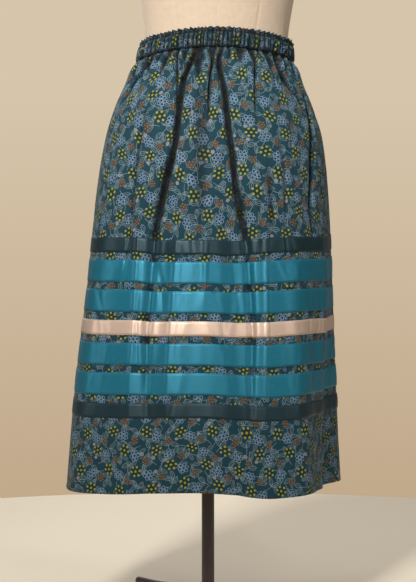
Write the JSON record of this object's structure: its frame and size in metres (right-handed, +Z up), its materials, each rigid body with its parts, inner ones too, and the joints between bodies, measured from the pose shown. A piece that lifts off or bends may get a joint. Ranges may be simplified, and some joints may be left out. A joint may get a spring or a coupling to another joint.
{
  "type": "ribbon skirt on a dress form",
  "caption": "Gathered print skirt with an elastic waist and bands of satin ribbon round its lower half, on a limbless dress form with a pole and tripod base.",
  "frame": {"origin": "on the floor under the middle of the object, on the pole's axis", "axes": "+Z up along the pole; the front of the skirt faces -Y; +X is to the right of a person who looks at the front"},
  "size_m": [0.501, 0.4018, 1.5463],
  "materials": {
    "printed_cotton": "matt plain weave with a small floral print",
    "teal_satin": "glossy satin",
    "dark_teal_satin": "glossy satin",
    "cream_satin": "glossy satin",
    "linen_cover": "matt plain weave",
    "turned_beech": "satin varnish",
    "painted_steel": "satin paint",
    "black_rubber": "matt"
  },
  "bodies": {
    "root": {"skirt_front": "printed_cotton", "skirt_back": "printed_cotton", "waistband_casing": "printed_cotton", "ribbon_1_dark_teal_front": "dark_teal_satin", "ribbon_1_dark_teal_back": "dark_teal_satin", "ribbon_2_teal_front": "teal_satin", "ribbon_2_teal_back": "teal_satin", "ribbon_3_teal_front": "teal_satin", "ribbon_3_teal_back": "teal_satin", "ribbon_4_cream_front": "cream_satin", "ribbon_4_cream_back": "cream_satin", "ribbon_5_teal_front": "teal_satin", "ribbon_5_teal_back": "teal_satin", "ribbon_6_teal_front": "teal_satin", "ribbon_6_teal_back": "teal_satin", "ribbon_7_dark_teal_front": "dark_teal_satin", "ribbon_7_dark_teal_back": "dark_teal_satin", "form_torso": "linen_cover", "neck_cap": "turned_beech", "underside_plate": "painted_steel", "pole_collar": "painted_steel", "pole": "painted_steel", "base_hub": "painted_steel", "leg_rear_left": "painted_steel", "leg_front": "painted_steel", "leg_right": "painted_steel", "foot_rear_left": "black_rubber", "foot_front": "black_rubber", "foot_right": "black_rubber"}
  },
  "joints": []
}
